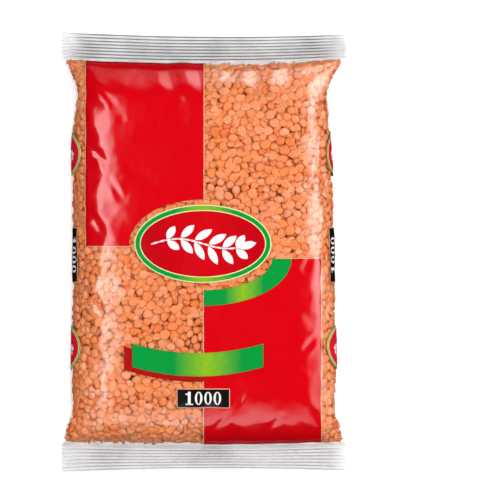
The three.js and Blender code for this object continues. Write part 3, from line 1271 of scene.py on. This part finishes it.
def nearInk(v, turn):  # true wherever a print may lie over a lentil
    x, spare = bareSkin(v, turn)[:, 0], lentils["inkSpare"]
    upper, lower = onField(x, v, -spare)
    banner = (x > ribbon["shadowLeft"] - spare) & (x < ribbon["right"])
    banner &= (v < ribbon["endTop"] + spare) & (v > lentils["bannerEnd"])
    front = upper | lower | banner | (ovalValue(x, v, badge["center"], shrunk(badge["size"], -spare)) > 0)
    back = (x * v > 0) | (np.abs(x) < spare) | (np.abs(v) < 2 * spare)
    back &= np.abs(x) < -fields["left"] + spare
    onSide = np.abs(turn - np.round(turn / 2) * 2) < 1 - pack["faceEnd"] + lentils["sidePrint"][0]
    onSide &= np.abs(v) < lentils["sidePrint"][1]
    return np.where((turn > 0) & (turn < 2), front, back) | onSide


filmTree = BVHTree.FromPolygons(filmPoints.tolist(), filmFaces.tolist())


def fitsInside(groups, clearances):  # whether each group of points stays that far under the film
    fits = []
    for group, clearance in zip(groups, clearances):
        good = True
        for point in group:
            spot, normal, _, _ = filmTree.find_nearest(Vector(point))
            if (Vector(point) - spot).dot(normal) > -clearance:
                good = False
                break
        fits.append(good)
    return np.array(fits, bool)


def frames(normal, tilt, flips, rng):  # three directions for each lentil, about a tilted normal
    helper = np.where(np.abs(normal[:, :1]) < 0.8, [[1.0, 0, 0]], [[0, 1.0, 0]])
    side = unit(np.cross(normal, helper))
    other = np.cross(normal, side)
    up = unit(normal + side * tilt[:, :1] + other * tilt[:, 1:])
    spin = rng.uniform(0, 2 * math.pi, len(normal))
    first = side * np.cos(spin)[:, None] + other * np.sin(spin)[:, None]
    first = unit(first - up * (first * up).sum(1)[:, None])
    second = np.cross(up, first)
    flip = np.where(flips, -1.0, 1.0)[:, None]
    return first, second * flip, up * flip


def shapeLentils(kind, places, radii, thick, rng, segments, detail):
    shapePoints, shapeFaces, rim = lentilShape(kind, segments, detail)
    center, first, second, up = places
    oval = 1 + rng.uniform(-lentils["oval"], lentils["oval"], len(radii))
    bulge = rng.uniform(*lentils["bulge"], len(radii))
    turnOf = np.arctan2(shapePoints[:, 1], shapePoints[:, 0])[None, :]
    starts = {waves: rng.uniform(0, 2 * math.pi, (len(radii), 1)) for waves in (3, 5)}
    wobble = 1 + sum(lentils["wobble"] * 3 / waves * np.cos(waves * turnOf + start)
                     for waves, start in starts.items())
    x = (shapePoints[None, :, 0] * (radii * oval)[:, None] * wobble)[..., None] * first[:, None]
    y = (shapePoints[None, :, 1] * (radii / oval)[:, None] * wobble)[..., None] * second[:, None]
    z = (shapePoints[None, :, 2] * (thick * bulge / 2)[:, None])[..., None] * up[:, None]
    points = center[:, None] + x + y + z
    faces = shapeFaces[None] + (np.arange(len(points)) * len(shapePoints))[:, None, None]
    return points.reshape(-1, 3), faces.reshape(-1, 3), np.tile(rim, len(points))


testPoints = {"round": 8, "rim": 1.02, "shoulder": (0.72, 0.37)}  # shares of the radius and the thickness


def rimPoints(places, radii, thick):  # the places on each lentil that are held against the film
    center, first, second, up = places
    spots = [center + up * (thick / 2)[:, None], center - up * (thick / 2)[:, None]]
    out, rise = testPoints["shoulder"]
    for k in range(testPoints["round"]):
        angle = 2 * math.pi * k / testPoints["round"]
        direction = first * math.cos(angle) + second * math.sin(angle)
        spots.append(center + direction * (radii * testPoints["rim"])[:, None])
        spots.append(center + direction * (radii * out)[:, None] + up * (thick * rise)[:, None])
    return np.stack(spots, axis=1)


def gapPlaces(v, turn, rng):  # places between the lentils of the front layer, the widest gaps first
    tree = treeOf(bareSkin(v, turn))
    tryV, tryTurn, _ = areaSamples(lentils["gapTries"], rng)
    tries = bareSkin(tryV, tryTurn)
    reach = np.array([tree.find(point)[2] for point in tries])
    order = [k for k in np.argsort(-reach) if reach[k] > lentils["gapRoom"]]
    chosen = spaced(tries, order, lentils["gapSpacing"])
    return tryV[chosen], tryTurn[chosen]


def spaced(points, order, spacing):  # those of a list, in that order, that keep clear of the ones before
    cells, chosen = {}, []
    for k in order:
        key = tuple((points[k] // spacing).astype(int))
        near = [other for dx in (-1, 0, 1) for dy in (-1, 0, 1) for dz in (-1, 0, 1)
                for other in cells.get((key[0] + dx, key[1] + dy, key[2] + dz), ())]
        if all(np.linalg.norm(points[other] - points[k]) > spacing for other in near):
            cells.setdefault(key, []).append(k)
            chosen.append(k)
    return chosen


# Lentils between walls of film that come close together: where they are tried, the room there and their size
thinFill = {"tries": 26000, "reach": 21, "past": 0, "spacing": 2.3, "room": (1.1, 10), "heights": (2, 46),
            "thick": (1.1, 1.6), "radius": (1.7, 2.5), "clearance": 0.06}
tipFill = {"tries": 40000, "reach": 42, "past": 61.5, "spacing": 1.45, "room": (0.7, 10), "heights": (2, 46),
           "thick": (0.6, 0.9), "radius": (0.9, 1.4), "clearance": 0.03}
seamFill = {"tries": 12000, "reach": 3.6, "past": 0, "spacing": 1.55, "room": (0.7, 50), "heights": (22, 38),
            "thick": (0.7, 1.0), "radius": (1.0, 1.6), "clearance": 0.05}
fillLimits = {"across": 73, "beside": 0.6, "tilt": 0.10, "bareFrom": 0.8, "sizes": (1.0, 0.8, 0.65, 0.5)}


def picked(places, use):
    return tuple(part[use] for part in places)


def thinPlaces(fill, rng):  # beside the seals and in the ears
    count = fill["tries"]
    start, end = half - fill["reach"], half - fillLimits["beside"]
    spots = np.stack([
        rng.choice([-1.0, 1.0], count) * rng.uniform(fill["past"], fillLimits["across"], count),
        rng.choice([-1.0, 1.0], count) * rng.uniform(start, end, count),
        rng.uniform(*fill["heights"], count)], axis=1)
    centers, normals = [], []
    for spot in spots:
        point = Vector(spot)
        near, normal, _, depth = filmTree.find_nearest(point)
        if (point - near).dot(normal) > 0:
            continue
        hit, wallNormal, _, rest = filmTree.ray_cast(point, -normal)
        room = depth + rest if hit else 0
        if room < fill["room"][0] or room > fill["room"][1] or depth > rest:
            continue
        single = room < 3 * fill["thick"][0]
        center = point + normal * ((depth - rest) / 2 if single else depth - fill["thick"][0])
        up = (normal - wallNormal).normalized() if single else normal
        centers.append(center[:])
        normals.append(up[:])
    centers, normals = np.array(centers), np.array(normals)
    chosen = spaced(centers, range(len(centers)), fill["spacing"])
    centers, normals = centers[chosen], normals[chosen]
    count = len(centers)
    radii = rng.uniform(*fill["radius"], count)
    thick = rng.uniform(*fill["thick"], count)
    tilt = rng.normal(0, fillLimits["tilt"], (count, 2))
    places = (centers, *frames(normals, tilt, rng.random(count) < lentils["flipShare"], rng))
    across, along = np.abs(centers[:, 0]), np.abs(centers[:, 1])
    bare = across > fields["right"] + fillLimits["bareFrom"]
    bare |= (along > half - fields["backGap"]) & (centers[:, 0] * centers[:, 1] > 0)
    clearances = np.where(bare, fill["clearance"], lentils["clearance"])
    size = np.zeros(count)
    for share in fillLimits["sizes"]:  # the largest one that fits
        fits = fitsInside(rimPoints(places, radii * share, thick * share), clearances)
        size = np.maximum(size, share * fits)
    use = size > 0
    print("thin places:", int(use.sum()), "of", len(use))
    return picked(places, use), (radii * size)[use], (thick * size)[use]


def skinPlaces(v, turn, radii, depthRange, tilt, rng):
    shown = ~underInk(v, turn)
    v, turn, radii = v[shown], turn[shown], radii[shown]
    count = len(v)
    split = rng.random(count) < lentils["splitShare"]
    thick = np.where(split, lentils["splitThickness"], lentils["wholeThickness"])
    thick = thick * radii / np.mean(lentils["radius"])
    share, more = lentils["tossed"]
    slants = rng.normal(0, tilt, (count, 2)) * np.where(rng.random(count) < share, more, 1.0)[:, None]
    normal = outward(v, turn)
    steep = np.clip(normal[:, 2], 0, 1) * (1 - normal[:, 2]) * lentils["levelling"]
    leant = unit(normal + steep[:, None] * [0, 0, 1])
    first, second, up = frames(leant, slants, rng.random(count) < lentils["flipShare"], rng)
    slope = np.arccos(np.clip(np.abs((up * normal).sum(1)), 0, 1))
    flat, steepest = lentils["room"]
    rise = np.hypot(thick * flat * np.cos(slope), radii * steepest * np.sin(slope))
    depth = rng.uniform(*depthRange, count) + rise
    center = skin(v, turn, depth)
    clearances = np.where(nearInk(v, turn), lentils["clearance"], lentils["bareClearance"])
    left = np.arange(count)
    fits = np.zeros(count, bool)
    for _ in range(lentils["deeperTries"]):  # those that would touch the film go deeper
        places = picked((center, first, second, up), left)
        good = fitsInside(rimPoints(places, radii[left], thick[left]), clearances[left])
        fits[left[good]] = True
        left = left[~good]
        depth[left] += lentils["deeperStep"]
        center[left] = skin(v[left], turn[left], depth[left])
    print("lentils of a layer:", int(fits.sum()), "of", count)
    return picked((center, first, second, up), fits), radii[fits], thick[fits]


def makeLentils():
    rng = np.random.default_rng(101)
    v, turn, radii = spreadOver(
        lentils["frontCover"], lentils["frontTight"], lentils["frontSink"], lentils["rounds"], 102)
    gapV, gapTurn = gapPlaces(v, turn, rng)
    gapRadii = rng.uniform(*lentils["gapRadius"], len(gapV))
    deep = spreadOver(
        lentils["deepCover"], lentils["deepTight"], lentils["deepSink"], lentils["deepRounds"], 103)
    layers = [
        (skinPlaces(v, turn, radii, lentils["frontDepth"], lentils["frontTilt"], rng), 11, "fine"),
        (skinPlaces(gapV, gapTurn, gapRadii, lentils["gapDepth"], lentils["gapTilt"], rng), 9, "medium"),
        (thinPlaces(thinFill, rng), 9, "medium"),
    ]
    kinds = {kind: [] for kind in lentilTones}
    for (places, someRadii, thick), segments, detail in layers:
        thin = thick / someRadii < lentils["thinBelow"]
        chipped = rng.random(len(thick)) < lentils["chipShare"]
        for kind, use in (("whole", ~thin & ~chipped), ("split", thin & ~chipped), ("chipped", chipped)):
            some = (picked(places, use), someRadii[use], thick[use])
            kinds[kind].append(shapeLentils(kind, *some, rng, segments, detail))
    for fill in (tipFill, seamFill):
        kinds["bits"].append(shapeLentils("chipped", *thinPlaces(fill, rng), rng, 7, "coarse"))
    under = skinPlaces(*deep, lentils["deepDepth"], lentils["deepTilt"], rng)
    kinds["under"].append(shapeLentils("under", *under, rng, 8, "coarse"))
    for kind, parts in kinds.items():
        points, faces = joined([(points, faces) for points, faces, _ in parts])
        rim = np.concatenate([part[2] for part in parts])
        material = lentilMaterial(kind + "Lentil", lentilTones[kind])
        makePiece("lentils_" + kind, points, faces, [material], None, {"rim": rim})


makeLentils()

core = {
    "across": 0.925,
    "up": 0.80,
    "along": 0.93,
    "end": 0.985,
    "rows": 60,
    "columns": 96,
    # painted shade: darker than the lentils' own colours
    "color": (0.55, 0.13, 0.032, 1),
    "darkColor": (0.22, 0.04, 0.010, 1),
}


def makeCore():  # what shows in the deepest gaps: a lumpy mass well inside the film, coloured darker than the lentils as painted shade
    count = core["columns"]
    rows = np.linspace(-half, half, core["rows"]) * core["end"]
    columns = np.linspace(0, fullTurn, count, endpoint=False)
    grid = bareSkin(*np.broadcast_arrays(rows[:, None], columns[None, :]))
    points = grid.reshape(-1, 3) * [core["across"], core["along"], 1]
    points[:, 2] = pack["backDrop"] + (points[:, 2] - pack["backDrop"]) * core["up"]
    faces = [halved(tubeQuads(len(rows), count))]
    for first, flip in ((0, 1), ((len(rows) - 1) * count, -1)):
        middle = len(points)
        points = np.concatenate([points, [points[first:first + count].mean(0)]])
        faces.append([[first + k, first + (k + 1) % count, middle][::flip] for k in range(count)])
    material, tree = newMaterial("lentilsInShade")
    grain = addGrain(tree, (100, 0), core["color"], core["darkColor"], 260.0, 0.9)
    grainedSurface(tree, grain, (0.8, 0.001), {"Roughness": 0.9})
    makePiece("lentils_inner", points, np.concatenate(faces), [material])
    clear = min(filmTree.find_nearest(Vector(point))[3] for point in points[::7])
    print("core done,", round(clear, 2), "mm under the film")


makeCore()

# Floor, light and camera

floorLook = {
    "reach": 3000,
    "drop": 0.2,
    "color": (0.93, 0.93, 0.93, 1),
    "glow": 0.45,
    "bounce": (0.55, 0.55, 0.55, 1),  # what its light on the pack is like
}


def makeFloor():
    size, drop = floorLook["reach"] * mm, floorLook["drop"] * mm
    mesh = bpy.data.meshes.new("floor")
    corners = [(-size, -size, -drop), (size, -size, -drop), (size, size, -drop), (-size, size, -drop)]
    mesh.from_pydata(corners, [], [(0, 1, 2, 3)])
    floor = bpy.data.objects.new("floor", mesh)
    bpy.context.scene.collection.objects.link(floor)
    floor.visible_glossy = False
    material, tree = newMaterial("paleFloor")
    matt = {"Roughness": 0.9, "Specular IOR Level": 0.0}
    pale = addNode(tree, "ShaderNodeBsdfPrincipled", (400, 100), {
        "Base Color": floorLook["color"],
        "Emission Color": (1, 1, 1, 1),
        "Emission Strength": floorLook["glow"],
        **matt,
    })
    dim = addNode(tree, "ShaderNodeBsdfPrincipled", (400, -300), {"Base Color": floorLook["bounce"], **matt})
    seen = addNode(tree, "ShaderNodeLightPath", (400, 400))
    mixedSurface(tree, seen.outputs["Is Camera Ray"], dim, pale)
    mesh.materials.append(material)


makeFloor()

studio = {  # soft boxes that the film mirrors, by degrees off the zenith, and their middle and reach sideways
    "ground": 0.02,
    "backdrop": 0.95,
    "boxes": [
        {"axis": "X", "sign": -1, "inner": (13, 38), "outer": (44, 49), "middle": 0.0, "reach": (0.35, 0.6),
         "strength": 11.0},
        {"axis": "X", "sign": 1, "inner": (40, 80), "outer": (80, 95), "middle": 0.15, "reach": (0.32, 0.55),
         "strength": 12.5},
        {"axis": "Y", "sign": 1, "inner": (56, 82), "outer": (106, 118), "middle": 0.12, "reach": (0.35, 0.6),
         "strength": 8.6, "fade": (-0.02, 0.15, 0.20)},  # it grows from the last share over this range across
        {"axis": "Y", "sign": -1, "inner": (24, 60), "outer": (68, 72), "middle": 0.0, "reach": (0.35, 0.6),
         "strength": 4.2},
    ],
}
lamps = {  # soft lamps, which the film doesn't mirror
    "overhead": {"size": 900, "place": (150, 240, 1600), "power": 28.2},
    "fillLeft": {"size": 1300, "place": (-1000, -700, 700), "power": 7.5},
    "fillRight": {"size": 1300, "place": (1200, 300, 600), "power": 9.5},
}


def makeStudio():
    world = bpy.data.worlds.new("studio")
    bpy.context.scene.world = world
    world.use_nodes = True
    world.cycles_visibility.diffuse = False
    tree = world.node_tree
    tree.nodes.clear()
    direction = addNode(tree, "ShaderNodeTexCoord", (-1000, 0))
    parts = addNode(tree, "ShaderNodeSeparateXYZ", (-800, 0), {"Vector": direction.outputs["Generated"]})

    def soft(value, low, high, start, end, spot):
        return addNode(tree, "ShaderNodeMapRange", spot, {
            "Value": value, "From Min": low, "From Max": high, "To Min": start, "To Max": end,
        }, interpolation_type="SMOOTHSTEP").outputs["Result"]

    total = studio["ground"]
    for k, box in enumerate(studio["boxes"]):
        height = -400 * (k + 1)
        inner, outer = ([math.radians(angle) for angle in box[end]] for end in ("inner", "outer"))
        cross = parts.outputs["Y" if box["axis"] == "X" else "X"]
        toward = addMath(tree, "MULTIPLY", (-600, height), parts.outputs[box["axis"]], box["sign"])
        angle = addMath(tree, "ARCTAN2", (-400, height), toward, parts.outputs["Z"])
        sideways = addMath(tree, "SUBTRACT", (-600, height - 150), cross, box["middle"])
        sideways = addMath(tree, "ABSOLUTE", (-400, height - 150), sideways)
        rising = soft(angle, *inner, 0, 1, (-200, height))
        falling = soft(angle, *outer, 1, 0, (0, height))
        middle = soft(sideways, *box["reach"], 1, 0, (0, height - 200))
        mask = addMath(tree, "MULTIPLY", (200, height), rising, falling)
        mask = addMath(tree, "MULTIPLY", (400, height), mask, middle)
        if "fade" in box:
            low, high, start = box["fade"]
            fade = soft(cross, low, high, start, 1, (200, height - 200))
            mask = addMath(tree, "MULTIPLY", (500, height), mask, fade)
        light = addMath(tree, "MULTIPLY", (600, height), mask, box["strength"])
        total = addMath(tree, "ADD", (800, height), light, total)
    seen = addNode(tree, "ShaderNodeLightPath", (1000, 300))
    blend = addNode(tree, "ShaderNodeMix", (1300, 100), {
        "Factor": seen.outputs["Is Camera Ray"], "A": total, "B": studio["backdrop"]}, data_type="FLOAT")
    background = addNode(tree, "ShaderNodeBackground", (1600, 0), {"Strength": blend.outputs["Result"]})
    addNode(tree, "ShaderNodeOutputWorld", (1800, 0), {"Surface": background.outputs[0]})
    for name, values in lamps.items():
        light = bpy.data.lights.new(name, "AREA")
        light.size = values["size"] * mm
        light.energy = values["power"]
        lamp = bpy.data.objects.new(name, light)
        lamp.location = [value * mm for value in values["place"]]
        lamp.rotation_euler = lamp.location.to_track_quat("Z", "Y").to_euler()
        lamp.visible_glossy = False
        lamp.visible_camera = False
        bpy.context.scene.collection.objects.link(lamp)


makeStudio()

view = {"distance": 5.0, "center": (18.4, 1.0, 23.5), "width": 244.8}


def makeCamera():
    camera = bpy.data.cameras.new("camera")
    camera.sensor_fit = "HORIZONTAL"
    camera.sensor_width = 36
    camera.lens = camera.sensor_width * view["distance"] / (view["width"] * mm)
    camera.clip_start = 0.1
    camera.clip_end = 20
    eye = bpy.data.objects.new("camera", camera)
    x, y, z = (value * mm for value in view["center"])
    eye.location = (x, y, z + view["distance"])
    bpy.context.scene.collection.objects.link(eye)
    bpy.context.scene.camera = eye


makeCamera()
bpy.context.scene.view_settings.view_transform = "Standard"
bpy.context.scene.view_settings.look = "None"
print("light and camera done")
